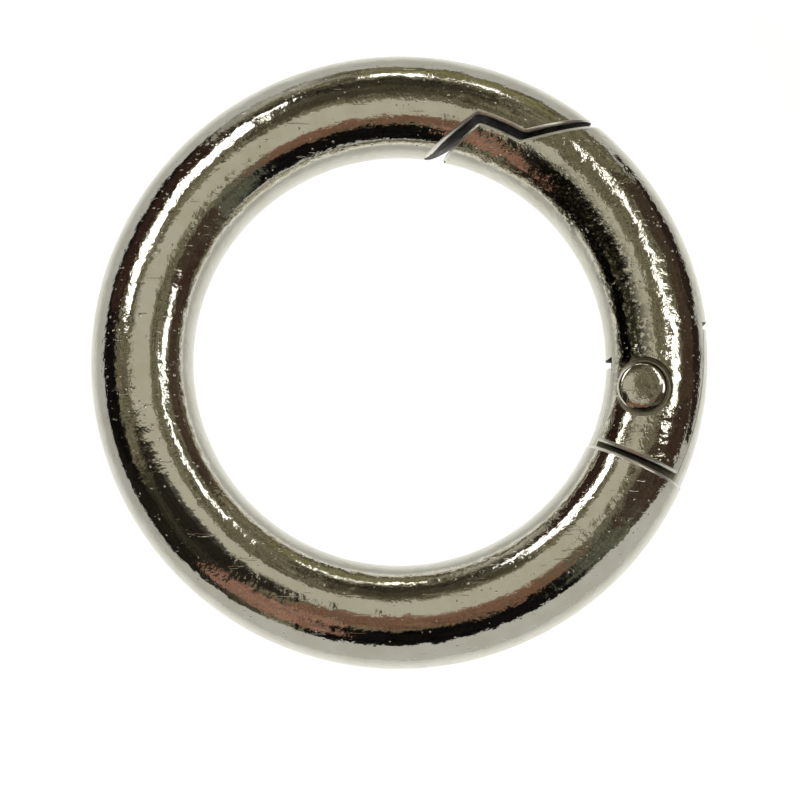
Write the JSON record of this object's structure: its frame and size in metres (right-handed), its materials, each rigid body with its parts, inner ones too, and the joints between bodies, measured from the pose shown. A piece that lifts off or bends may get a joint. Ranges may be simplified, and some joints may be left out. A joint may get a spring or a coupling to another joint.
{
  "type": "spring gate ring",
  "caption": "Round spring gate ring: a C-shaped round bar closed by a curved gate that a hidden spring holds shut.",
  "frame": {"origin": "centre of the ring, in the middle plane of the round bar", "axes": "the ring lies flat in X and Y, +Z out of the face with the domed rivet head; +X towards the hinge side, +Y towards the latch side"},
  "size_m": [0.0359, 0.036, 0.006],
  "materials": {
    "ring_body": "polished nickel plate on a zinc casting",
    "gate": "polished nickel plate on a zinc casting",
    "rivet": "polished nickel plate on steel",
    "return_spring": "drawn spring wire"
  },
  "bodies": {
    "ring": {"ring_body": "ring_body"},
    "gate_arm": {"gate": "gate", "rivet": "rivet", "return_spring": "return_spring"}
  },
  "joints": [
    {"name": "gate_hinge", "type": "hinge", "parent": "ring", "child": "gate_arm", "pos_m": [0.01412, -0.00191, 0], "axis": [0, 0, 1], "range_deg": [0, 27], "stiffness_Nm_per_rad": 0.05, "springref_deg": -28.65, "deforming": ["return_spring"]}
  ]
}
